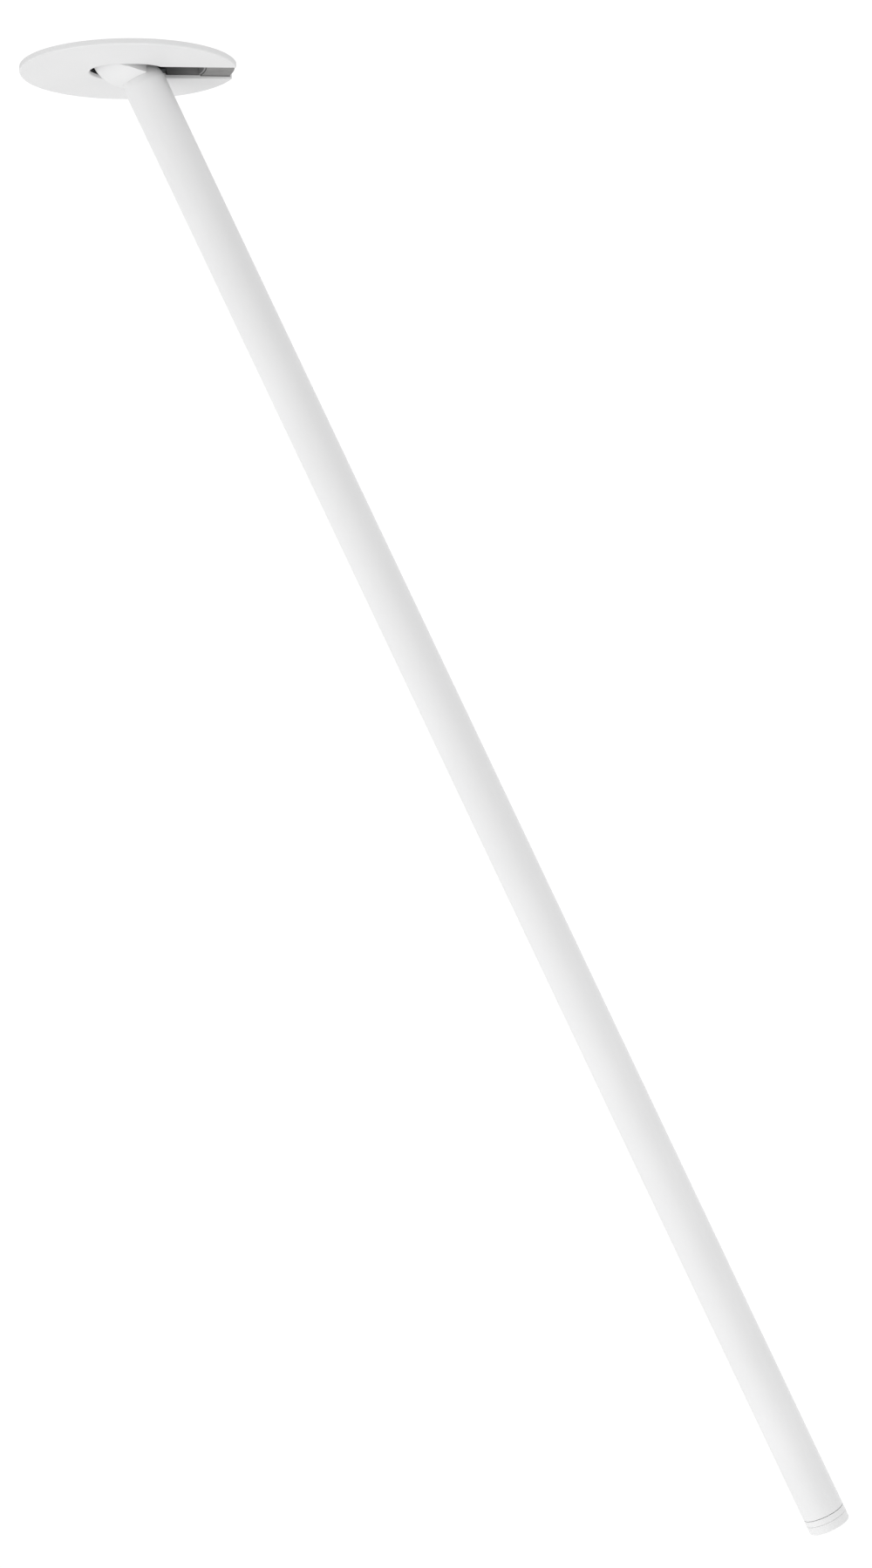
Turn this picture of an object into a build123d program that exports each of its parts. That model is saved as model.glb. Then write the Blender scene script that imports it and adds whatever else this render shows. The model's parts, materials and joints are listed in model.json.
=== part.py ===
"""Slim adjustable ceiling stick light: recessed swivel base, turntable, slotted cover and tilting tube lamp.

Millimetres. Origin at the centre of the ceiling plane, which is the back of the mounting ring. +Z is up into the
ceiling, +X is the way the tube leans and the cover's slot runs. Every piece is written to parts/NODE.step.
"""

import os
from math import cos, radians, sin, sqrt

from build123d import *

# ---------------------------------------------------------------- driving dimensions
COVER_R = 62.5  # outer radius of the round cover
COVER_DEPTH = 3.5  # how far the cover's face stands below the ceiling
COVER_SKIN = 1.7  # cover's thickness under the mounting ring
COVER_RIM = 0.9  # wall around the mounting ring
COVER_TOP = -0.2  # back of the cover
COVER_BOSS_R = 44.6  # the cover is at full thickness inside this radius
OPENING_R = 18.6  # obround opening in the cover: end radius
OPENING_SHIFT = 3.9  # its end centres are this far each side of the middle
SLOT_HALF = 12.9  # half width of the cover's slot
COVER_EDGE = 0.8  # rounding of the cover's face edges
SLOT_LIP = 2.2  # thickness of the cover along the slot
SLOT_RELIEF_HALF = 15.2  # half width of the relief behind the lip
OPENING_RELIEF = 2.3  # how far the skin is relieved behind the knuckle's opening

RING_IN_R = 46.0  # mounting ring
RING_OUT_R = 61.3
RING_T = 1.5
RING_PCD_R = 53.5  # radius of the screw circle
RING_HOLE_R = 2.25
RING_HOLE_ANGLES = (60, 180, 300)

CUP_OUT_R = 45.95  # recess cup in the ceiling
CUP_WALL = 1.0
CUP_TOP = 55.5
CUP_ROOF = 1.5

NIPPLE_R = 5.0  # hollow swivel tube that the turntable hangs on
NIPPLE_BORE_R = 3.5
NIPPLE_LOW = 35.0
NIPPLE_HIGH = 62.0

TABLE_R = 41.0  # turntable plate
TABLE_LOW = 42.5
TABLE_HIGH = 44.0

PIVOT_Z = 10.5  # height of the tilt axis
BALL_R = 22.5  # knuckle radius, about the tilt axis
BALL_FLAT = 17.0  # half width across the knuckle's side flats
PIN_R = 3.0  # pivot pin
YOKE_IN = 18.0  # inner face of the yoke's arms
YOKE_OUT = 20.5
YOKE_HALF_X = 8.0
YOKE_TOP = 42.5

CARRIER_IN_R = 30.0  # C-shaped carrier that the cover hangs on
CARRIER_OUT_R = 43.0
CARRIER_LOW = 2.2
CARRIER_HIGH = 4.2
CARRIER_SLOT_HALF = 14.5
POST_R = 38.0
POST_ANGLES = (90, 180, 270)
MAGNET_ANGLES = (68, 180, 292)
MAGNET_CIRCLE_R = 36.5
GUIDE_ANGLES = (130, 230)
GUIDE_CIRCLE_R = 37.0

LEAN_DEG = 24.0  # lean of the tube from straight down, towards +X
TUBE_R = 12.5
TUBE_BORE_R = 11.0
ARM_LENGTH = 952.0  # tilt axis to the tube's tip
END_RING = 9.2  # visible height of the end ring
END_GAP = 0.3  # fine groove between tube and end ring
RING_LINE = 5.3  # second, shallow line, above the tip


# ---------------------------------------------------------------- helpers
def rod(radius, low, high, x=0.0, y=0.0):
    """Upright cylinder between two heights."""
    return Pos(x, y, low) * Cylinder(radius, high - low, align=(Align.CENTER, Align.CENTER, Align.MIN))


def tube(outer, inner, low, high, x=0.0, y=0.0):
    """Upright hollow cylinder between two heights."""
    return rod(outer, low, high, x, y) - rod(inner, low - 1, high + 1, x, y)


def block(x0, x1, y0, y1, z0, z1):
    """Box given by its six limits."""
    centre = Pos((x0 + x1) / 2, (y0 + y1) / 2, (z0 + z1) / 2)
    return centre * Box(x1 - x0, y1 - y0, z1 - z0)


def hexagon(across, low, high, x=0.0, y=0.0):
    """Upright hexagonal prism, given across its flats."""
    face = RegularPolygon(across / sqrt(3), 6)
    return Pos(x, y, low) * extrude(face, high - low)


def along_y(radius, y0, y1, x=0.0, z=PIVOT_Z):
    """Cylinder along +Y at a given x and z."""
    low, high = min(y0, y1), max(y0, y1)
    shaft = Cylinder(radius, high - low, align=(Align.CENTER, Align.CENTER, Align.MIN))
    return Pos(x, low, z) * Rot(X=-90) * shaft


def polar(radius, angle):
    """x and y of a point on a circle about +Z."""
    return radius * cos(radians(angle)), radius * sin(radians(angle))


def screw(head_r, shaft_r, seat, head_top, tip, x=0.0, y=0.0, drive=1.2):
    """Pan-head screw standing head up, with a hexagonal socket."""
    body = rod(head_r, seat, head_top, x, y) + rod(shaft_r, tip, seat, x, y)
    rim = body.edges().filter_by(GeomType.CIRCLE).group_by(Axis.Z)[-1]
    body = fillet(rim, min(0.6, (head_top - seat) * 0.45))
    return body - hexagon(drive * 2, head_top - drive, head_top + 1, x, y)


def lamp(shape):
    """Turn a shape drawn hanging straight down from the tilt axis into its leaning place.

    Drawn with the tilt axis at the origin and the tube running down -Z.
    """
    return Pos(0, 0, PIVOT_Z) * Rot(Y=-LEAN_DEG) * shape


def down(radius, near, far, x=0.0, y=0.0):
    """Cylinder of the lamp arm, between two distances below the tilt axis."""
    return rod(radius, -far, -near, x, y)


def sleeve(outer, inner, near, far):
    """Hollow cylinder of the lamp arm, between two distances below the tilt axis."""
    return tube(outer, inner, -far, -near)


parts = {}


# ---------------------------------------------------------------- ceiling base
def make_mounting_ring():
    ring = tube(RING_OUT_R, RING_IN_R, -RING_T, 0)
    outer = ring.edges().filter_by(GeomType.CIRCLE).sort_by(SortBy.RADIUS)[-2:]
    ring = chamfer(outer, 0.3)
    for angle in RING_HOLE_ANGLES:
        x, y = polar(RING_PCD_R, angle)
        ring -= rod(RING_HOLE_R, -RING_T - 1, 1, x, y)
    return ring


def make_recess_cup():
    cup = rod(CUP_OUT_R, -RING_T, CUP_TOP)
    top = cup.edges().filter_by(GeomType.CIRCLE).group_by(Axis.Z)[-1]
    cup = fillet(top, 2.0)
    room = rod(CUP_OUT_R - CUP_WALL, -RING_T - 1, CUP_TOP - CUP_ROOF)
    cup -= room
    cup -= rod(NIPPLE_R + 0.05, 50, 60)
    cup -= rod(1.85, 50, 60, -STOP_R, 0)
    for x, y in (*BOX_SCREWS, EARTH_AT):
        cup -= rod(1.65, 50, 60, x, y)
    return cup


def make_nipple():
    nipple = tube(NIPPLE_R, NIPPLE_BORE_R, NIPPLE_LOW, NIPPLE_HIGH)
    ends = nipple.edges().filter_by(GeomType.CIRCLE)
    return chamfer(ends, 0.4)


def make_lock_nuts():
    """Two hexagon nuts that clamp the nipple in the cup's roof."""
    above = hexagon(15, CUP_TOP, 60.0) - rod(NIPPLE_R, 50, 65)
    below = hexagon(17, 49.5, CUP_TOP - CUP_ROOF) - rod(NIPPLE_R, 45, 60)
    return [above, below]


def make_swivel_nut():
    """Round flanged nut that carries the turntable from below."""
    collar = rod(8.0, NIPPLE_LOW, 37.6) + rod(10.5, 37.6, 38.8)
    for angle in range(0, 360, 60):
        x, y = polar(8.6, angle)
        collar -= rod(1.2, NIPPLE_LOW - 1, 37.6, x, y)
    return collar - rod(NIPPLE_R, 30, 45)


def make_swivel_washers():
    """Thin slip washers under the yoke and over the turntable."""
    low = tube(10.0, NIPPLE_R + 0.05, 38.8, 39.65)
    high = tube(10.0, NIPPLE_R + 0.05, 44.35, 45.3)
    return [low, high]


def make_swivel_spring():
    """Coned spring washer pressed between the upper slip washer and the inner lock nut."""
    with BuildPart() as spring:
        with BuildSketch(Plane.XZ):
            with BuildLine():
                Polyline(
                    (5.3, 48.6), (9.6, 45.3), (9.9, 46.0), (5.7, 49.5), (5.3, 49.5), (5.3, 48.6)
                )
            make_face()
        revolve(axis=Axis.Z)
    return spring.part


STOP_R = 33.0  # circle of the rotation stop


def make_stop_pin():
    pin = rod(1.8, 44.8, CUP_TOP + 1.2, -STOP_R, 0) + rod(3.0, CUP_TOP, CUP_TOP + 1.2, -STOP_R, 0)
    low = pin.edges().filter_by(GeomType.CIRCLE).group_by(Axis.Z)[0]
    return chamfer(low, 0.4)


BOX_R = 28.5  # junction box on the cup's roof
BOX_WALL = 2.0
BOX_TOP = 84.0
BOX_SCREWS = ((0, 31.5), (0, -31.5))
GLAND_X = -14.0
EARTH_AT = (-6.0, 17.0)


def make_junction_box():
    box = rod(BOX_R, CUP_TOP, BOX_TOP)
    top = box.edges().filter_by(GeomType.CIRCLE).group_by(Axis.Z)[-1]
    box = fillet(top, 3.0)
    for x, y in BOX_SCREWS:
        side = 1 if y > 0 else -1
        ear = rod(4.5, CUP_TOP, CUP_TOP + 3, x, y)
        ear += block(-4.5, 4.5, min(y, side * 20), max(y, side * 20), CUP_TOP, CUP_TOP + 3)
        box += ear
    box -= rod(BOX_R - BOX_WALL, CUP_TOP - 1, BOX_TOP - BOX_WALL)
    for x, y in BOX_SCREWS:
        box -= rod(1.7, CUP_TOP - 1, CUP_TOP + 4, x, y)
    return box - rod(6.1, 70, 90, GLAND_X, 0)


def make_box_screws():
    return [
        screw(3.0, 1.5, CUP_TOP + 3, CUP_TOP + 5, 51.5, x, y) for x, y in BOX_SCREWS
    ]


def make_cable_gland():
    """Cord gland: body with flange, seen from outside, threaded through the box's lid."""
    body = rod(6.0, 78.0, BOX_TOP, GLAND_X, 0) + hexagon(16, BOX_TOP, 88.0, GLAND_X, 0)
    body += rod(6.8, 88.0, 95.0, GLAND_X, 0)
    dome = body.edges().filter_by(GeomType.CIRCLE).group_by(Axis.Z)[-1]
    body = fillet(dome, 1.8)
    return body - rod(3.6, 70, 100, GLAND_X, 0)


def make_gland_nut():
    return hexagon(16, 78.5, BOX_TOP - BOX_WALL, GLAND_X, 0) - rod(6.0, 70, 90, GLAND_X, 0)


TERMINALS_X = 15.0


def make_terminal_block():
    """Three-pole terminal block, wire mouths facing +X and -X."""
    body = block(TERMINALS_X - 5.5, TERMINALS_X + 5.5, -15, 15, CUP_TOP, 67.5)
    for y in (-5.0, 5.0):
        body -= block(TERMINALS_X - 6, TERMINALS_X + 6, y - 0.5, y + 0.5, 60.0, 68)
    for y in (-10.0, 0.0, 10.0):
        mouth = Pos(TERMINALS_X - 8, y, 61) * Rot(Y=90) * Cylinder(
            1.9, 16, align=(Align.CENTER, Align.CENTER, Align.MIN)
        )
        body -= mouth
        body -= rod(1.9, 62.0, 70, TERMINALS_X, y)
    return body


def make_terminal_screws():
    return [
        screw(1.8, 1.2, 65.2, 66.8, 62.3, TERMINALS_X, y, drive=0.7) for y in (-10.0, 0.0, 10.0)
    ]


def make_earth_screw():
    x, y = EARTH_AT
    stud = screw(3.2, 1.6, CUP_TOP + 0.8, CUP_TOP + 2.8, 51.0, x, y)
    washer = tube(3.8, 1.65, CUP_TOP, CUP_TOP + 0.8, x, y)
    return [stud, washer]


def wire(points, radius):
    """Round lead along a smooth line through points."""
    path = Spline(*[Vector(*p) for p in points])
    start = Plane(origin=path @ 0, z_dir=path % 0)
    return sweep(start * Circle(radius), path=path)


def make_supply_leads():
    """Two short leads from the terminals down into the nipple."""
    leads = []
    for side in (-1, 1):
        points = (
            (TERMINALS_X - 3.5, side * 10.0, 61.0),
            (TERMINALS_X - 8.0, side * 9.8, 61.6),
            (4.0, side * 6.5, 66.5),
            (0.6, side * 2.4, 67.5),
            (0, side * 1.6, 63.5),
            (0, side * 1.6, 58.0),
            (0, side * 1.6, 50.0),
            (0, side * 1.6, 37.0),
        )
        leads.append(wire(points, 0.9))
    return leads


# ---------------------------------------------------------------- turntable
YOKE_SCREWS = ((0, 15.5), (0, -15.5))


def make_turntable_plate():
    plate = rod(TABLE_R, TABLE_LOW, TABLE_HIGH)
    plate -= rod(NIPPLE_R + 0.06, 40, 46)
    for angle in POST_ANGLES:
        x, y = polar(POST_R, angle)
        plate -= rod(1.6, 40, 46, x, y)
    for x, y in YOKE_SCREWS:
        plate -= rod(1.6, 40, 46, x, y)
    plate -= rod(1.6, 40, 46, STOP_R, 0)
    for angle in (40, 140, 220, 320):
        x, y = polar(27.0, angle)
        plate -= rod(7.0, 40, 46, x, y)
    return plate


def make_stop_screw():
    x = STOP_R
    shank = screw(2.75, 1.5, TABLE_HIGH, 47.2, 40.5, x, 0)
    nut = hexagon(5.5, 40.6, TABLE_LOW, x, 0) - rod(1.5, 39, 44, x, 0)
    return [shank, nut]


def make_yoke():
    web = block(-11, 11, -YOKE_OUT, YOKE_OUT, 40.0, YOKE_TOP)
    for side in (-1, 1):
        y0, y1 = sorted((side * YOKE_IN, side * YOKE_OUT))
        arm = block(-YOKE_HALF_X, YOKE_HALF_X, y0, y1, PIVOT_Z, YOKE_TOP)
        arm += along_y(YOKE_HALF_X, y0, y1)
        web += arm
    web -= rod(NIPPLE_R + 0.3, 38, 44)
    for x, y in YOKE_SCREWS:
        web -= rod(1.45, 38, 44, x, y)
    return web - along_y(PIN_R + 0.05, -30, 30)


def make_yoke_screws():
    return [screw(2.75, 1.45, TABLE_HIGH, 45.8, 40.2, x, y) for x, y in YOKE_SCREWS]


def make_pivot_pin():
    pin = along_y(PIN_R, -YOKE_OUT, 25.0) + along_y(5.5, -YOKE_OUT - 3.0, -YOKE_OUT)
    ends = pin.edges().filter_by(GeomType.CIRCLE).group_by(Axis.Y)
    pin = chamfer(ends[0] + ends[-1], 0.5)
    socket = Pos(0, -YOKE_OUT - 3.5, PIVOT_Z) * Rot(X=-90) * extrude(RegularPolygon(2.3, 6), 2.3)
    return pin - socket


def make_pivot_nut():
    nut = Pos(0, 21.6, PIVOT_Z) * Rot(X=-90) * extrude(RegularPolygon(10 / sqrt(3), 6), 3.2)
    return nut - along_y(PIN_R, 15, 30)


def make_disc_spring():
    """Coned spring between yoke arm and nut: it sets the tilt friction."""
    with BuildPart() as spring:
        with BuildSketch(Plane.XY):
            with BuildLine():
                Polyline((3.1, 20.95), (5.8, 20.5), (5.9, 21.1), (3.1, 21.6), (3.1, 20.95))
            make_face()
        revolve(axis=Axis.Y)
    return Pos(0, 0, PIVOT_Z) * spring.part


def make_friction_discs():
    return [
        along_y(8.0, side * 17.35, side * YOKE_IN) - along_y(PIN_R + 0.05, -30, 30)
        for side in (-1, 1)
    ]


def make_cover_carrier():
    ring = tube(CARRIER_OUT_R, CARRIER_IN_R, CARRIER_LOW, CARRIER_HIGH)
    ring -= block(0, 60, -CARRIER_SLOT_HALF, CARRIER_SLOT_HALF, 0, 5)
    for angle in POST_ANGLES:
        x, y = polar(POST_R, angle)
        ring -= rod(1.6, 0, 5, x, y)
    for angle in GUIDE_ANGLES:
        x, y = polar(GUIDE_CIRCLE_R, angle)
        ring -= rod(1.85, 0, 5, x, y)
    x, y = SHROUD_FEET
    for side in (-1, 1):
        ring -= rod(1.25, 0, 5, x, side * y)
    return ring


def make_carrier_posts():
    posts = []
    for angle in POST_ANGLES:
        x, y = polar(POST_R, angle)
        post = rod(2.75, CARRIER_HIGH, TABLE_LOW, x, y) + rod(1.6, CARRIER_LOW, CARRIER_HIGH, x, y)
        posts.append(post - rod(1.25, 34.0, 45, x, y))
    return posts


def make_carrier_screws():
    screws = []
    for angle in POST_ANGLES:
        x, y = polar(POST_R, angle)
        screws.append(screw(2.75, 1.25, TABLE_HIGH, 45.8, 35.0, x, y))
    return screws


def make_magnets():
    """Disc magnets under the carrier that hold the cover by its steel keepers."""
    magnets = []
    for angle in MAGNET_ANGLES:
        x, y = polar(MAGNET_CIRCLE_R, angle)
        disc = rod(4.0, 0.15, CARRIER_LOW, x, y)
        low = disc.edges().filter_by(GeomType.CIRCLE).group_by(Axis.Z)[0]
        magnets.append(chamfer(low, 0.3))
    return magnets


SHROUD_NEAR = 23.2  # trough over the cover's slot
SHROUD_REACH = 44.6
SHROUD_HALF = 14.4
SHROUD_WALL = 1.0
SHROUD_LOW = -0.95
SHROUD_FEET = (32.0, 17.4)


def shroud_profile(drop, reach, low):
    """Side outline of the trough: tall beside the knuckle, low at the rim."""
    points = ((SHROUD_NEAR, low), (reach, low), (reach, 4.0 - drop), (SHROUD_NEAR, 15.0 - drop))
    return Plane.XZ * make_face(Polyline(*points, close=True))


def make_slot_shroud():
    """Trough that closes the slot off from the recess and leaves room for the raised tube."""
    outer = extrude(shroud_profile(0.0, 60.0, SHROUD_LOW), SHROUD_HALF, both=True)
    outer &= rod(SHROUD_REACH, -5, 30)
    room = extrude(shroud_profile(SHROUD_WALL, 60.0, SHROUD_LOW - 1), SHROUD_HALF - SHROUD_WALL, both=True)
    room = Pos(-0.5, 0, 0) * room
    room &= rod(SHROUD_REACH - SHROUD_WALL, -5, 30)
    shroud = outer - room
    x, y = SHROUD_FEET
    for side in (-1, 1):
        foot = block(x - 4, x + 4, *sorted((side * (SHROUD_HALF - 0.5), side * (y + 3))), CARRIER_HIGH, 5.2)
        shroud += foot - rod(1.3, 0, 10, x, side * y)
    return shroud


def make_shroud_rivets():
    x, y = SHROUD_FEET
    rivets = []
    for side in (-1, 1):
        rivet = rod(2.4, 5.2, 6.2, x, side * y) + rod(1.25, CARRIER_LOW, 5.2, x, side * y)
        top = rivet.edges().filter_by(GeomType.CIRCLE).group_by(Axis.Z)[-1]
        rivets.append(fillet(top, 0.6))
    return rivets


# ---------------------------------------------------------------- cover
def make_cover_disc():
    """Turned plate with an obround opening and a slot that runs out through the rim.

    Its back has a ring-shaped recess that takes the mounting ring, and a relief behind the slot's lips.
    """
    outline = Circle(COVER_R) - SlotCenterToCenter(2 * OPENING_SHIFT, 2 * OPENING_R)
    outline -= Pos(COVER_R / 2, 0) * Rectangle(COVER_R + 2, 2 * SLOT_HALF)
    plate = Pos(0, 0, -COVER_DEPTH) * extrude(outline, COVER_DEPTH + COVER_TOP)
    face = plate.faces().sort_by(Axis.Z)[0]
    plate = fillet(face.edges(), COVER_EDGE)
    plate -= tube(COVER_R - COVER_RIM, COVER_BOSS_R, -COVER_DEPTH + COVER_SKIN, 2)
    relief = block(SHROUD_NEAR - 0.8, 70, -SLOT_RELIEF_HALF, SLOT_RELIEF_HALF, -COVER_DEPTH + SLOT_LIP, 5)
    plate -= relief & rod(COVER_R - COVER_RIM, -10, 10)
    margin = SlotCenterToCenter(2 * OPENING_SHIFT, 2 * (OPENING_R + OPENING_RELIEF))
    plate -= Pos(0, 0, -COVER_DEPTH + SLOT_LIP) * extrude(margin, 10)
    for angle in MAGNET_ANGLES:
        x, y = polar(MAGNET_CIRCLE_R, angle)
        plate -= rod(4.2, COVER_TOP - KEEPER_T, 2, x, y)
    for angle in GUIDE_ANGLES:
        x, y = polar(GUIDE_CIRCLE_R, angle)
        plate -= rod(1.5, COVER_TOP - 2.0, 2, x, y)
    return plate


KEEPER_T = 1.2


def make_keeper_discs():
    """Steel discs let into the cover's back, facing the magnets."""
    discs = []
    for angle in MAGNET_ANGLES:
        x, y = polar(MAGNET_CIRCLE_R, angle)
        discs.append(rod(4.2, COVER_TOP - KEEPER_T, COVER_TOP, x, y))
    return discs


def make_guide_pins():
    """Pins pressed into the cover that centre it in the carrier and turn it with the tube."""
    pins = []
    for angle in GUIDE_ANGLES:
        x, y = polar(GUIDE_CIRCLE_R, angle)
        pin = rod(1.5, COVER_TOP - 2.0, 6.4, x, y)
        top = pin.edges().filter_by(GeomType.CIRCLE).group_by(Axis.Z)[-1]
        pins.append(chamfer(top, 0.6))
    return pins


# ---------------------------------------------------------------- tilting lamp arm
SPIGOT_R = 10.95
DOME_AT = 23.0  # centre of the tube's domed upper end
NECK_R = 6.5  # neck that joins knuckle and tube
NECK_NEAR = 9.0
NECK_FAR = 27.0
NECK_BORE_R = 5.0
VISOR_R = 17.5  # the knuckle's side away from the slot is a visor with this radius about the arm's axis
VISOR_BACK = 11.0  # and that radius is struck from here, behind the axis
HUB_R = 8.5
CHEEK_R = 9.5  # filler that carries the tube's back edge up into the visor
CHEEK_END = DOME_AT - 2.5
GRUBS = (30.0, 42.0)
HEAT_SINK = (ARM_LENGTH - 60.0, ARM_LENGTH - 35.0)
BOARD_AT = HEAT_SINK[1]
LEAD_X = 3.9


def make_pivot_ball():
    """Knuckle: a ball-shaped visor that closes the opening behind the tube, and a hub for the pivot pin."""
    ball = Sphere(BALL_R) & Box(60, 2 * BALL_FLAT, 60)
    ball &= rod(VISOR_R, -40, 40, -VISOR_BACK, 0)
    ball += along_y(HUB_R, -BALL_FLAT, BALL_FLAT, 0, 0)
    ball -= rod(30, 17.5, 40)
    ball -= rod(7.0, -NECK_NEAR + 1, 30)
    ball -= Pos(0, 0, -DOME_AT) * Sphere(TUBE_R + 0.03)
    ball -= down(NECK_R + 0.03, NECK_NEAR, 30)
    ball -= down(NECK_BORE_R, 5, 20)
    side = along_y(4.5, -20, 20, 0, 0)
    return ball - side


def make_pivot_bushes():
    bushes = []
    for side in (-1, 1):
        bush = along_y(4.5, side * 10.2, side * BALL_FLAT, 0, 0)
        bushes.append(bush - along_y(PIN_R + 0.05, -20, 20, 0, 0))
    return bushes


def make_neck_spigot():
    """Hollow neck out of the knuckle, widening to a spigot that fills the tube."""
    spigot = down(NECK_R, NECK_NEAR, NECK_FAR) + down(SPIGOT_R, NECK_FAR, 50.0)
    far = spigot.edges().filter_by(GeomType.CIRCLE).group_by(Axis.Z)[0]
    spigot = chamfer(far, 0.6)
    spigot -= down(NECK_BORE_R, 0, 60)
    for s in GRUBS:
        spigot -= along_y(1.5, 4, 12, 0, -s)
    return spigot


def make_arm_tube():
    """Long tube. Its upper end is a dome, with a cheek that runs straight on into the visor."""
    dome_centre = Pos(0, 0, -DOME_AT)
    cheek = rod(CHEEK_R, -CHEEK_END, -12.0, CHEEK_R - TUBE_R, 0) - Sphere(BALL_R + 0.03)
    body = down(TUBE_R, DOME_AT, ARM_LENGTH - END_RING) + dome_centre * Sphere(TUBE_R)
    body += cheek
    low = body.edges().filter_by(GeomType.CIRCLE).group_by(Axis.Z)[0]
    body = chamfer(low, 0.15)
    body -= down(TUBE_BORE_R, DOME_AT, ARM_LENGTH) + dome_centre * Sphere(TUBE_BORE_R)
    body -= down(NECK_R + 0.05, 0, DOME_AT)
    for s in GRUBS:
        body -= along_y(1.6, 9, 14, 0, -s)
    return body


def make_grub_screws():
    grubs = []
    for s in GRUBS:
        grub = along_y(1.5, 5.6, 12.1, 0, -s)
        socket = Pos(0, 10.6, -s) * Rot(X=-90) * extrude(RegularPolygon(0.85, 6), 2.0)
        grubs.append(grub - socket)
    return grubs


def make_lamp_leads():
    """Two insulated leads from the knuckle to the light board."""
    return [down(0.8, -9.0, BOARD_AT - 0.1, side * LEAD_X, 0) for side in (-1, 1)]


def make_heat_sink():
    """Finned slug pressed into the tube behind the light board."""
    near, far = HEAT_SINK
    slug = down(SPIGOT_R, near, far)
    for s in range(int(near) + 3, int(far) - 5, 4):
        slug -= sleeve(SPIGOT_R + 1, 7.0, s, s + 2)
    for side in (-1, 1):
        slug -= down(1.1, near - 1, far + 1, side * LEAD_X, 0)
        slug -= down(1.0, far - 6, far + 1, 0, side * 7.0)
    return slug


def make_light_board():
    board = down(9.6, BOARD_AT, BOARD_AT + 1.6)
    for side in (-1, 1):
        board -= down(1.1, BOARD_AT - 1, BOARD_AT + 3, 0, side * 7.0)
        board -= down(1.1, BOARD_AT - 1, BOARD_AT + 3, side * LEAD_X, 0)
    return board


def make_light_source():
    base = BOARD_AT + 1.6
    package = block(-2.5, 2.5, -3.5, 3.5, -base - 0.6, -base)
    return package + down(2.2, base + 0.6, base + 1.0)


def make_board_screws():
    screws = []
    for side in (-1, 1):
        head = BOARD_AT + 1.6
        item = down(1.9, head, head + 1.3, 0, side * 7.0) + down(0.95, BOARD_AT - 4, head, 0, side * 7.0)
        screws.append(item - Pos(0, side * 7.0, -head - 1.5) * extrude(RegularPolygon(0.9, 6), 0.9))
    return screws


def make_lens_holder():
    holder = sleeve(10.9, 10.0, BOARD_AT, BOARD_AT + 18.5)
    return holder + sleeve(10.3, 9.7, BOARD_AT + 13.5, BOARD_AT + 14.5)


def make_lens():
    """Solid collimator: narrow end over the light source, wide flat end facing out."""
    outline = (
        (0, 6.2), (2.6, 6.2), (2.6, 3.4), (3.4, 3.4), (9.4, 15.2), (9.9, 15.2), (9.9, 16.6), (0, 16.6)
    )
    points = [(r, -BOARD_AT - drop) for r, drop in outline]
    return revolve(Plane.XZ * make_face(Polyline(*points, close=True)), Axis.Z)


def make_front_ring():
    """Turned end ring: screws into the tube and frames the glass."""
    near = ARM_LENGTH - END_RING + END_GAP
    ring = down(TUBE_R, near, ARM_LENGTH)
    tip = ring.edges().filter_by(GeomType.CIRCLE).group_by(Axis.Z)[0]
    ring = fillet(tip, 0.7)
    ring += down(SPIGOT_R, ARM_LENGTH - 16.0, near)
    line = ARM_LENGTH - RING_LINE
    ring -= sleeve(TUBE_R + 1, TUBE_R - 0.25, line - 0.2, line + 0.2)
    ring -= down(9.6, ARM_LENGTH - 18.0, ARM_LENGTH + 1)
    ring -= down(10.6, ARM_LENGTH - 5.0, ARM_LENGTH + 1)
    return ring


def make_front_glass():
    glass = down(10.5, ARM_LENGTH - 3.8, ARM_LENGTH - 1.8)
    return chamfer(glass.edges().filter_by(GeomType.CIRCLE), 0.2)


def make_glass_seal():
    return Pos(0, 0, -ARM_LENGTH + 4.4) * Torus(10.0, 0.55)


# ---------------------------------------------------------------- collect and write
parts.update(
    mounting_ring=make_mounting_ring(),
    recess_cup=make_recess_cup(),
    swivel_nipple=make_nipple(),
    lock_nuts=make_lock_nuts(),
    swivel_nut=make_swivel_nut(),
    swivel_washers=make_swivel_washers(),
    swivel_spring=make_swivel_spring(),
    stop_pin=make_stop_pin(),
    junction_box=make_junction_box(),
    box_screws=make_box_screws(),
    cable_gland=make_cable_gland(),
    gland_nut=make_gland_nut(),
    terminal_block=make_terminal_block(),
    terminal_screws=make_terminal_screws(),
    earth_screw=make_earth_screw(),
    supply_leads=make_supply_leads(),
    turntable_plate=make_turntable_plate(),
    stop_screw=make_stop_screw(),
    yoke=make_yoke(),
    yoke_screws=make_yoke_screws(),
    pivot_pin=make_pivot_pin(),
    pivot_nut=make_pivot_nut(),
    disc_spring=make_disc_spring(),
    friction_discs=make_friction_discs(),
    cover_carrier=make_cover_carrier(),
    carrier_posts=make_carrier_posts(),
    carrier_screws=make_carrier_screws(),
    magnets=make_magnets(),
    slot_shroud=make_slot_shroud(),
    shroud_rivets=make_shroud_rivets(),
    cover_disc=make_cover_disc(),
    keeper_discs=make_keeper_discs(),
    guide_pins=make_guide_pins(),
)
arm_parts = dict(
    pivot_ball=make_pivot_ball(),
    pivot_bushes=make_pivot_bushes(),
    neck_spigot=make_neck_spigot(),
    arm_tube=make_arm_tube(),
    grub_screws=make_grub_screws(),
    lamp_leads=make_lamp_leads(),
    heat_sink=make_heat_sink(),
    light_board=make_light_board(),
    light_source=make_light_source(),
    board_screws=make_board_screws(),
    lens_holder=make_lens_holder(),
    lens=make_lens(),
    front_ring=make_front_ring(),
    front_glass=make_front_glass(),
    glass_seal=make_glass_seal(),
)
for name, shape in arm_parts.items():
    solids = shape if isinstance(shape, list) else [shape]
    parts[name] = [lamp(solid) for solid in solids]

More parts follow.
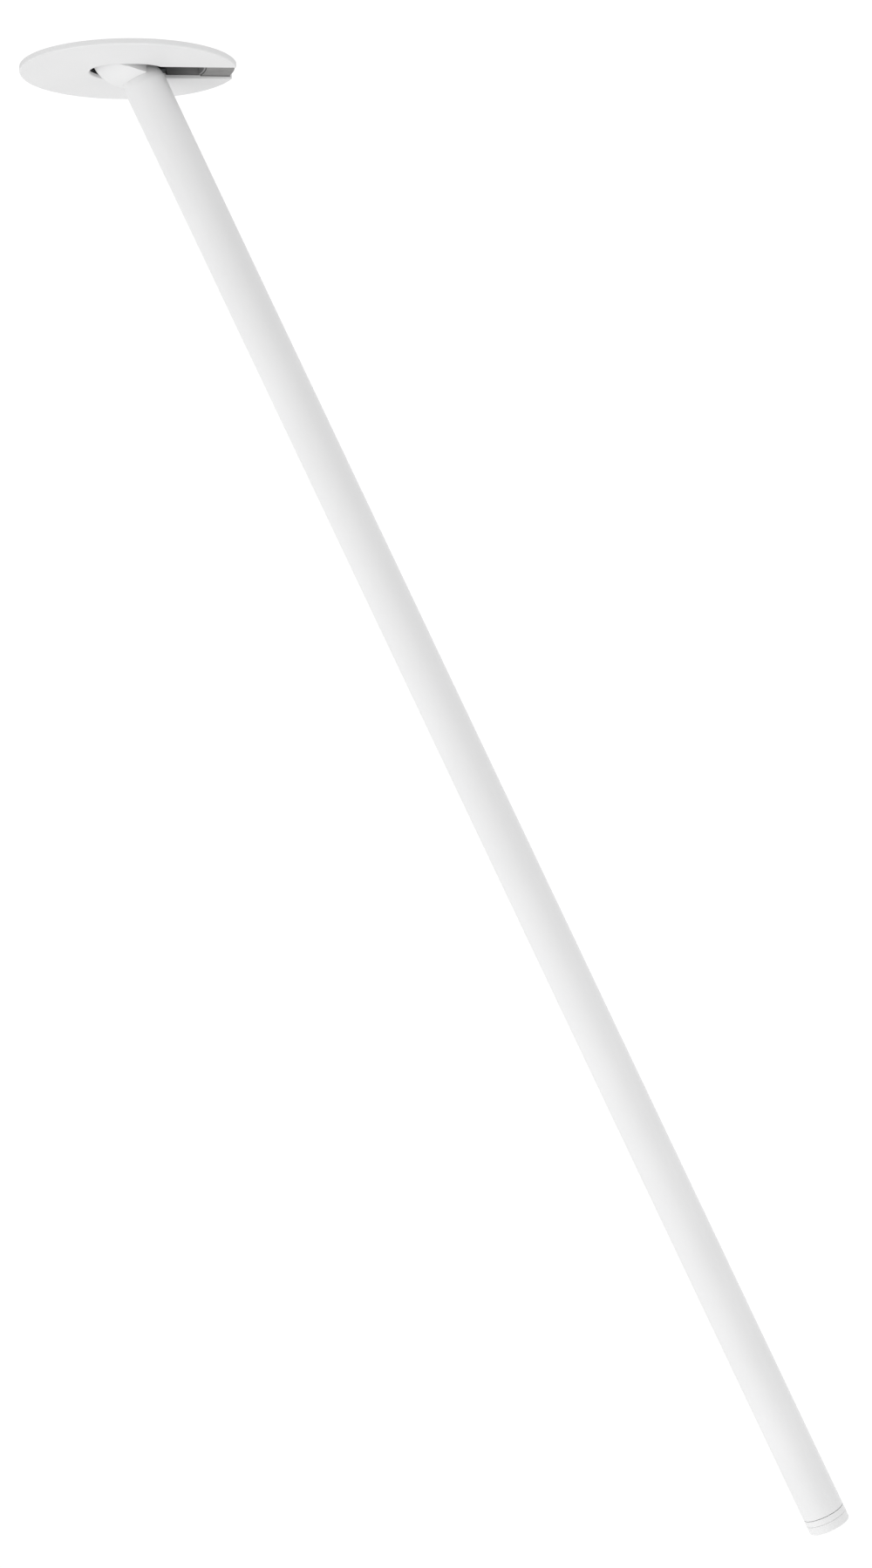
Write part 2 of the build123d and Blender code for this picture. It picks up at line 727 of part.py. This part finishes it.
os.makedirs("parts", exist_ok=True)
for name, shape in parts.items():
    pieces = shape if isinstance(shape, list) else [shape]
    solids = [solid for piece in pieces for solid in piece.solids()]
    export_step(Compound(children=solids), f"parts/{name}.step")
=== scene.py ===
"""Slim white ceiling stick light, seen in its ceiling from slightly below.

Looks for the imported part: procedural materials on every CAD node, a square of ceiling for it to hang in,
soft studio light and the camera. Metres, in the part's own frame.
"""

import json
import math

import bmesh
import bpy
from mathutils import Matrix, Vector

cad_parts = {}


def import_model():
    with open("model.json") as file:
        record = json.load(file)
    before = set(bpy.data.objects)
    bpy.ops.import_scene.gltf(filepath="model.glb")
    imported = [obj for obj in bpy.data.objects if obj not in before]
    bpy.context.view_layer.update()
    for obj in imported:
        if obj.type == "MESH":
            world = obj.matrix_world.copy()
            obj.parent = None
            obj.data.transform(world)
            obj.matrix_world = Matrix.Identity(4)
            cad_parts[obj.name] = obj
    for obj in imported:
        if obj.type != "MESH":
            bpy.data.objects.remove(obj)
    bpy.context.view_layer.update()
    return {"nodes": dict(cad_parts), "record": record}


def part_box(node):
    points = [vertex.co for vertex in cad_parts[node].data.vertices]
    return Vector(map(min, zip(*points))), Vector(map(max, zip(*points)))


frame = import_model()
NODES = frame["nodes"]


# ---------------------------------------------------------------- node helpers
def new_material(name):
    """Material with a Principled shader. Returns it with its tree and shader."""
    mat = bpy.data.materials.new(name)
    mat.use_nodes = True
    tree = mat.node_tree
    return mat, tree, tree.nodes["Principled BSDF"]


def add(tree, kind, **values):
    """Node with its properties, or its inputs where the name is an input's, set."""
    node = tree.nodes.new(kind)
    for key, value in values.items():
        if key in node.inputs:
            node.inputs[key].default_value = value
        else:
            setattr(node, key, value)
    return node


def object_coords(tree, scale=(1, 1, 1)):
    """Object coordinates in metres, stretched by scale."""
    coord = add(tree, "ShaderNodeTexCoord")
    mapping = add(tree, "ShaderNodeMapping", Scale=scale)
    tree.links.new(coord.outputs["Object"], mapping.inputs["Vector"])
    return mapping.outputs["Vector"]


def noise(tree, vector, scale, detail=3.0, roughness=0.5):
    """Value of a noise texture, about 0.3 to 0.7, with scale in cells to the metre."""
    node = add(tree, "ShaderNodeTexNoise", Scale=scale, Detail=detail, Roughness=roughness)
    tree.links.new(vector, node.inputs["Vector"])
    return node.outputs["Fac"]


def ramp(tree, factor, low, high, start=0.35, end=0.65):
    """Colour between low and high as factor runs from start to end."""
    node = add(tree, "ShaderNodeValToRGB")
    first, last = node.color_ramp.elements
    first.position, first.color = start, (*low, 1)
    last.position, last.color = end, (*high, 1)
    tree.links.new(factor, node.inputs["Fac"])
    return node.outputs["Color"]


def span(tree, factor, low, high, start=0.3, end=0.7):
    """Number between low and high as factor runs from start to end, and level beyond them."""
    node = add(tree, "ShaderNodeMapRange")
    for name, value in (("From Min", start), ("From Max", end), ("To Min", low), ("To Max", high)):
        node.inputs[name].default_value = value
    tree.links.new(factor, node.inputs["Value"])
    return node.outputs["Result"]


def bump(tree, shader, height, strength, distance):
    """Grain in the surface's normal, from a height of 0 to 1 that stands for distance metres."""
    node = add(tree, "ShaderNodeBump", Strength=strength, Distance=distance)
    tree.links.new(height, node.inputs["Height"])
    tree.links.new(node.outputs["Normal"], shader.inputs["Normal"])


def shade(colour, factor):
    """Colour made lighter or darker by a factor."""
    return tuple(min(1.0, channel * factor) for channel in colour)


# ---------------------------------------------------------------- materials
ACRYLIC_IOR = 1.49
SHADE_PASSAGE_CLOUD = 0.25  # share that the cloudy noise adds to the painted shade's passage from dark to light
WHITE = (0.74, 0.74, 0.742)


def powder_coat(name, colour, rough=0.42):
    """Fine satin powder coat: faint orange peel, slight drift in tone and gloss."""
    mat, tree, shader = new_material(name)
    where = object_coords(tree)
    drift = noise(tree, where, 14.0, 2.0)
    tone = ramp(tree, drift, shade(colour, 0.985), shade(colour, 1.01))
    tree.links.new(tone, shader.inputs["Base Color"])
    grain = noise(tree, where, 1500.0, 2.0, 0.6)
    tree.links.new(span(tree, grain, rough - 0.04, rough + 0.05), shader.inputs["Roughness"])
    peel = noise(tree, where, 620.0, 3.0, 0.55)
    bump(tree, shader, peel, 0.12, 0.00008)
    shader.inputs["Specular IOR Level"].default_value = 0.25
    return mat


def plated_steel(name, colour, rough=0.34, metallic=1.0):
    """Rolled, zinc plated sheet: cloudy tone, fine rolling lines."""
    mat, tree, shader = new_material(name)
    cloud = noise(tree, object_coords(tree), 60.0, 4.0)
    tone = ramp(tree, cloud, shade(colour, 0.86), shade(colour, 1.08))
    tree.links.new(tone, shader.inputs["Base Color"])
    lines = noise(tree, object_coords(tree, (1, 1, 24)), 260.0, 2.0)
    tree.links.new(span(tree, lines, rough - 0.06, rough + 0.1), shader.inputs["Roughness"])
    bump(tree, shader, lines, 0.08, 0.00005)
    shader.inputs["Metallic"].default_value = metallic
    return mat


def moulded(name, colour, rough=0.5):
    """Moulded plastic with a fine spark-eroded grain."""
    mat, tree, shader = new_material(name)
    where = object_coords(tree)
    cloud = noise(tree, where, 35.0, 2.0)
    tone = ramp(tree, cloud, shade(colour, 0.94), shade(colour, 1.05))
    tree.links.new(tone, shader.inputs["Base Color"])
    grain = noise(tree, where, 1800.0, 2.0)
    tree.links.new(span(tree, grain, rough - 0.06, rough + 0.08), shader.inputs["Roughness"])
    bump(tree, shader, grain, 0.15, 0.00006)
    return mat


def clear(name, colour, rough):
    """Glass or clear plastic, with a trace of surface haze."""
    mat, tree, shader = new_material(name)
    haze = noise(tree, object_coords(tree), 220.0, 2.0)
    tree.links.new(ramp(tree, haze, shade(colour, 0.98), colour), shader.inputs["Base Color"])
    tree.links.new(span(tree, haze, max(0.0, rough - 0.02), rough + 0.03), shader.inputs["Roughness"])
    shader.inputs["Transmission Weight"].default_value = 1.0
    shader.inputs["IOR"].default_value = ACRYLIC_IOR
    return mat


def painted_shade_lining(name, near, far):
    """Matt trough colour with painted shade: near, the darkest, at the knuckle where the trough is
    deepest, far at the rim, with a cloudy passage.
    """
    mat, tree, shader = new_material(name)
    where = object_coords(tree)
    axes = add(tree, "ShaderNodeSeparateXYZ")
    tree.links.new(where, axes.inputs["Vector"])
    (start, _, _), (end, _, _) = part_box("slot_shroud")
    # Painted shade: runs from 0 at the deep knuckle end to 1 at the rim
    reach = span(tree, axes.outputs["X"], 0.0, 1.0, start, end)
    cloud = noise(tree, where, 90.0, 3.0)
    blend = add(tree, "ShaderNodeMath", operation="MULTIPLY_ADD")
    tree.links.new(cloud, blend.inputs[0])
    blend.inputs[1].default_value = SHADE_PASSAGE_CLOUD
    tree.links.new(reach, blend.inputs[2])
    tone = ramp(tree, blend.outputs["Value"], near, far, 0.15, 1.1)
    tree.links.new(tone, shader.inputs["Base Color"])
    grain = noise(tree, where, 1500.0, 2.0)
    tree.links.new(span(tree, grain, 0.66, 0.76), shader.inputs["Roughness"])
    bump(tree, shader, grain, 0.12, 0.00006)
    return mat


MATERIALS = {
    "white_paint": powder_coat("white_paint", WHITE),
    "zinc_steel": plated_steel("zinc_steel", (0.60, 0.61, 0.63)),
    "screw_steel": plated_steel("screw_steel", (0.58, 0.59, 0.60), 0.28),
    # dark_lining is painted shade: near black at the knuckle, dark grey at the rim, standing in for the
    # shaded trough of the slot
    "dark_lining": painted_shade_lining("dark_lining", (0.10, 0.10, 0.10), (0.27, 0.27, 0.27)),
    "spring_steel": plated_steel("spring_steel", (0.36, 0.37, 0.39), 0.3),
    # ring_phosphate: a phosphated steel finish, its dark grey partly painted shade for the recess seen
    # through the slot
    "ring_phosphate": plated_steel("ring_phosphate", (0.25, 0.247, 0.245), 0.62, 0.3),
    "brass_turned": plated_steel("brass_turned", (0.74, 0.55, 0.26), 0.27),
    "magnet_nickel": plated_steel("magnet_nickel", (0.70, 0.69, 0.67), 0.16),
    "bare_aluminium": plated_steel("bare_aluminium", (0.70, 0.71, 0.73), 0.36),
    "slip_plastic": moulded("slip_plastic", (0.80, 0.79, 0.73)),
    "box_plastic": moulded("box_plastic", (0.46, 0.465, 0.47), 0.55),
    "terminal_plastic": moulded("terminal_plastic", (0.74, 0.74, 0.71)),
    "lead_insulation": moulded("lead_insulation", (0.60, 0.60, 0.58), 0.38),
    "board_laminate": moulded("board_laminate", (0.80, 0.82, 0.80), 0.4),
    "light_phosphor": moulded("light_phosphor", (0.88, 0.70, 0.22), 0.5),
    "holder_plastic": moulded("holder_plastic", (0.03, 0.03, 0.032), 0.5),
    "seal_rubber": moulded("seal_rubber", (0.03, 0.03, 0.03), 0.7),
    "clear_lens": clear("clear_lens", (0.97, 0.98, 0.98), 0.03),
    "front_glass": clear("front_glass", (0.95, 0.96, 0.96), 0.16),
}
SLOTS = {entry["node"]: entry["material_slot"] for entry in frame["record"]["subparts"]}
for node_name, node in NODES.items():
    material = MATERIALS[SLOTS[node_name]]
    node.data.materials.clear()
    node.data.materials.append(material)


# ---------------------------------------------------------------- stage
def emitter(name, seen, given):
    """Even white: one brightness to look at, another for the light that it gives."""
    mat = bpy.data.materials.new(name)
    mat.use_nodes = True
    tree = mat.node_tree
    tree.nodes.clear()
    glow = tree.nodes.new("ShaderNodeEmission")
    path = tree.nodes.new("ShaderNodeLightPath")
    tree.links.new(span(tree, path.outputs["Is Camera Ray"], given, seen, 0, 1), glow.inputs["Strength"])
    out = tree.nodes.new("ShaderNodeOutputMaterial")
    tree.links.new(glow.outputs["Emission"], out.inputs["Surface"])
    return mat


STUDIO_LEVEL = 1.05  # brightness of floor, ceiling and backdrop, to look at
CEILING_GLOW = 0.74  # brightness with which the ceiling lights the lamp
FLOOR_GLOW = 0.86  # and the floor
CEILING_HALF = 0.205
CEILING_LOW = 0.0003  # lower side, a hair above the mounting plane, z = 0
CEILING_HIGH = 0.0125
CUTOUT_R = 0.0475
CUTOUT_FACETS = 96
FLOOR_Z = -5.5
FLOOR_HALF = 45.0


def ceiling_board():
    """Square of ceiling with the lamp's cut-out. Its lower side and edges are as bright as the studio."""
    count = CUTOUT_FACETS
    bm = bmesh.new()
    rings = []
    for z in (CEILING_LOW, CEILING_HIGH):
        hole, edge = [], []
        for i in range(count):
            a = 2 * math.pi * i / count
            c, s = math.cos(a), math.sin(a)
            reach = CEILING_HALF / max(abs(c), abs(s))
            hole.append(bm.verts.new((CUTOUT_R * c, CUTOUT_R * s, z)))
            edge.append(bm.verts.new((reach * c, reach * s, z)))
        rings.append((hole, edge))
    (hole_low, edge_low), (hole_high, edge_high) = rings
    for i in range(count):
        j = (i + 1) % count
        bm.faces.new((hole_low[i], hole_low[j], edge_low[j], edge_low[i])).material_index = 0
        bm.faces.new((hole_high[j], hole_high[i], edge_high[i], edge_high[j])).material_index = 1
        bm.faces.new((edge_low[i], edge_low[j], edge_high[j], edge_high[i])).material_index = 0
        bm.faces.new((hole_low[j], hole_low[i], hole_high[i], hole_high[j])).material_index = 1
    bmesh.ops.recalc_face_normals(bm, faces=bm.faces)
    mesh = bpy.data.meshes.new("ceiling_board")
    bm.to_mesh(mesh)
    bm.free()
    mesh.materials.append(emitter("ceiling_white", STUDIO_LEVEL, CEILING_GLOW))
    mesh.materials.append(moulded("plasterboard", (0.62, 0.62, 0.61), 0.9))
    board = bpy.data.objects.new("ceiling_board", mesh)
    bpy.context.scene.collection.objects.link(board)


def floor():
    """Wide pale floor, far enough below the lamp for every view."""
    corners = [(x * FLOOR_HALF, y * FLOOR_HALF, FLOOR_Z) for x, y in ((-1, -1), (1, -1), (1, 1), (-1, 1))]
    mesh = bpy.data.meshes.new("floor")
    mesh.from_pydata(corners, [], [(0, 1, 2, 3)])
    mesh.materials.append(emitter("pale_floor", STUDIO_LEVEL, FLOOR_GLOW))
    plane = bpy.data.objects.new("floor", mesh)
    bpy.context.scene.collection.objects.link(plane)


ceiling_board()
floor()


# ---------------------------------------------------------------- light and camera
STUDIO_SLOPE = (-0.15, 0.42, 0.0)  # how the studio's light grows along each axis
BACK_GAIN = 0.08  # and the most that it grows by
SOFT_BOXES = (  # name, place, target, size, watts
    ("key_left", (-2.6, -1.0, -0.2), (0.1, 0, -0.3), (1.0, 1.8), 8.0),
    ("fill_right", (2.2, -1.3, -0.4), (0.1, 0, -0.3), (0.7, 1.8), 10.0),
    ("low_left", (-1.3, -1.6, -3.0), (0, 0, -0.1), (3.0, 3.0), 38.0),
)
CAMERA_AT = Vector((-0.1427, -1.8781, -0.4900))
CAMERA_YAW, CAMERA_PITCH, CAMERA_ROLL = (math.radians(a) for a in (9.361, 2.149, -1.758))
CAMERA_LENS = 75.32  # mm, on a sensor with a 36 mm long side
SENSOR = 36.0


def world():
    """Studio all round: even to look at, its light weaker from the camera's side and the lamp's right."""
    sky = bpy.data.worlds.new("studio")
    bpy.context.scene.world = sky
    sky.use_nodes = True
    tree = sky.node_tree
    coord = add(tree, "ShaderNodeTexCoord")
    lean = add(tree, "ShaderNodeVectorMath", operation="DOT_PRODUCT")
    lean.inputs[1].default_value = STUDIO_SLOPE
    tree.links.new(coord.outputs["Generated"], lean.inputs[0])
    gain = lean.outputs["Value"]
    level = span(tree, gain, STUDIO_LEVEL - 1, STUDIO_LEVEL + BACK_GAIN, -1, BACK_GAIN)
    path = add(tree, "ShaderNodeLightPath")
    seen = add(tree, "ShaderNodeMix", B=STUDIO_LEVEL)
    tree.links.new(path.outputs["Is Camera Ray"], seen.inputs["Factor"])
    tree.links.new(level, seen.inputs["A"])
    back = tree.nodes["Background"]
    back.inputs["Color"].default_value = (1, 1, 1, 1)
    tree.links.new(seen.outputs["Result"], back.inputs["Strength"])


def soft_box(name, place, target, size, watts):
    """Rectangular soft light at a place, turned to its target and not seen by the camera."""
    lamp = bpy.data.lights.new(name, "AREA")
    lamp.shape = "RECTANGLE"
    lamp.size, lamp.size_y = size
    lamp.energy = watts
    box = bpy.data.objects.new(name, lamp)
    box.location = place
    box.rotation_euler = (Vector(target) - Vector(place)).to_track_quat("-Z", "Y").to_euler()
    box.visible_camera = False
    bpy.context.scene.collection.objects.link(box)


def camera():
    """Camera a little left of the lamp and half way down it, level but for two degrees."""
    forward = Vector((
        math.sin(CAMERA_YAW) * math.cos(CAMERA_PITCH),
        math.cos(CAMERA_YAW) * math.cos(CAMERA_PITCH),
        math.sin(CAMERA_PITCH),
    ))
    level = Vector((math.cos(CAMERA_YAW), -math.sin(CAMERA_YAW), 0))
    roll = Matrix.Rotation(-CAMERA_ROLL, 3, forward)
    right, up = roll @ level, roll @ level.cross(forward)
    data = bpy.data.cameras.new("camera")
    data.sensor_width = SENSOR
    data.lens = CAMERA_LENS
    data.clip_start, data.clip_end = 0.05, 200.0
    eye = bpy.data.objects.new("camera", data)
    axes = Matrix((right, up, -forward)).transposed()
    eye.matrix_world = Matrix.Translation(CAMERA_AT) @ axes.to_4x4()
    bpy.context.scene.collection.objects.link(eye)
    bpy.context.scene.camera = eye


world()
for box in SOFT_BOXES:
    soft_box(*box)
camera()
scene = bpy.context.scene
scene.view_settings.view_transform = "Standard"
scene.view_settings.look = "None"
